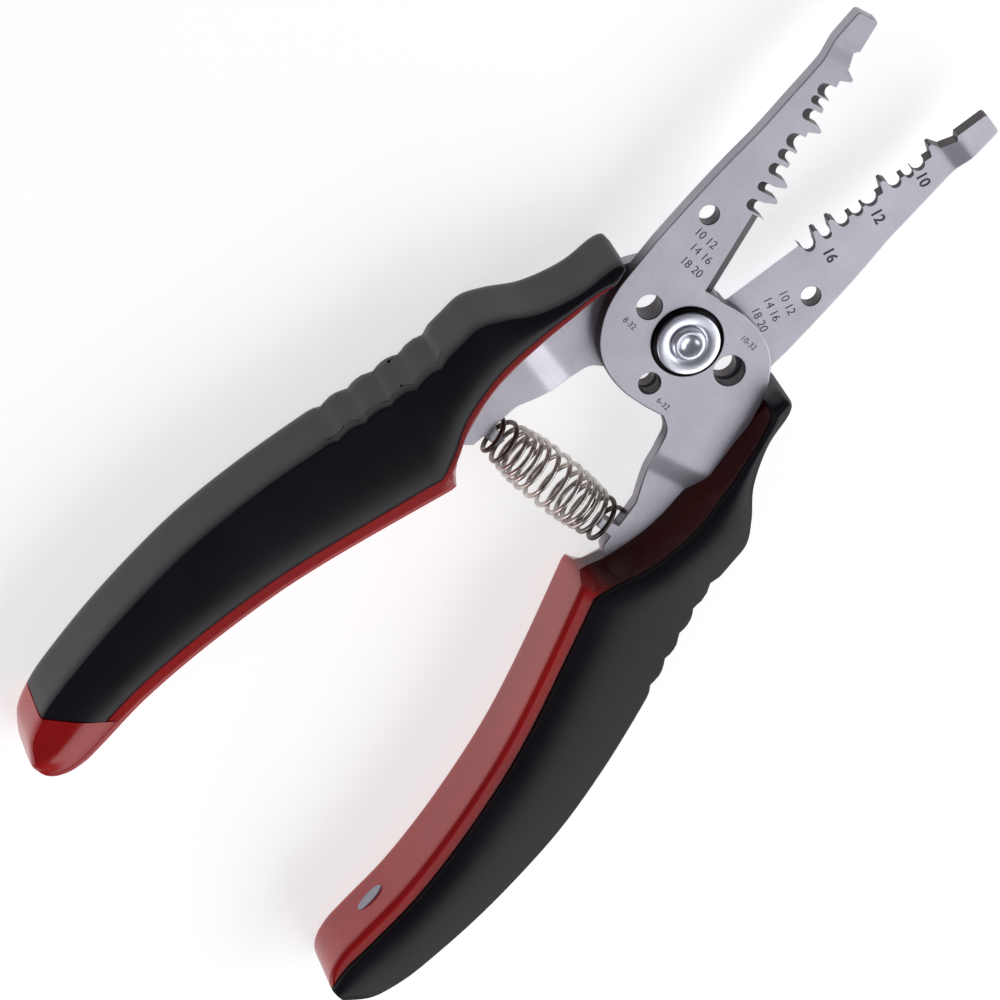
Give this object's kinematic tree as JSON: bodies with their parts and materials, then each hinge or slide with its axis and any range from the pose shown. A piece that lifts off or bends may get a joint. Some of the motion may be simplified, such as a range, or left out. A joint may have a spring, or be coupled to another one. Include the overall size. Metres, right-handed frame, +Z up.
{
  "type": "wire stripper",
  "caption": "Hand wire stripper: two crossed steel blade levers with notched jaws and plier nose, a pivot bolt, a barrel return spring and two-shot red and black handles.",
  "frame": {"origin": "middle of the footprint of the tool lying flat with its jaws open, on the surface it lies on", "axes": "+Y towards the nose, +Z up away from the surface, +X to the right with the nose pointing away"},
  "size_m": [0.0876, 0.185, 0.018],
  "materials": {
    "blade_steel": "satin, fine grain, ground edges",
    "zinc_steel": "bright zinc plate",
    "black_steel": "black oxide",
    "spring_wire": "nickel plated wire",
    "red_plastic": "glossy moulded",
    "black_rubber": "satin soft grip",
    "grey_badge": "satin blank"
  },
  "bodies": {
    "upper_lever": {"upper_blade": "blade_steel", "pivot_bolt": "zinc_steel", "pivot_nut": "zinc_steel", "upper_washer": "black_steel", "lower_washer": "black_steel", "right_core": "red_plastic", "right_grip": "black_rubber", "right_badge": "grey_badge", "return_spring": "spring_wire"},
    "lower_lever": {"lower_blade": "blade_steel", "left_core": "red_plastic", "left_grip": "black_rubber"}
  },
  "joints": [
    {"name": "jaw_pivot", "type": "hinge", "parent": "upper_lever", "child": "lower_lever", "pos_m": [0.0005, 0.03205, 0.009], "axis": [0, 0, 1], "range_deg": [0, 24], "stiffness_Nm_per_rad": 0.8, "springref_deg": -25.78, "deforming": ["return_spring"]}
  ]
}
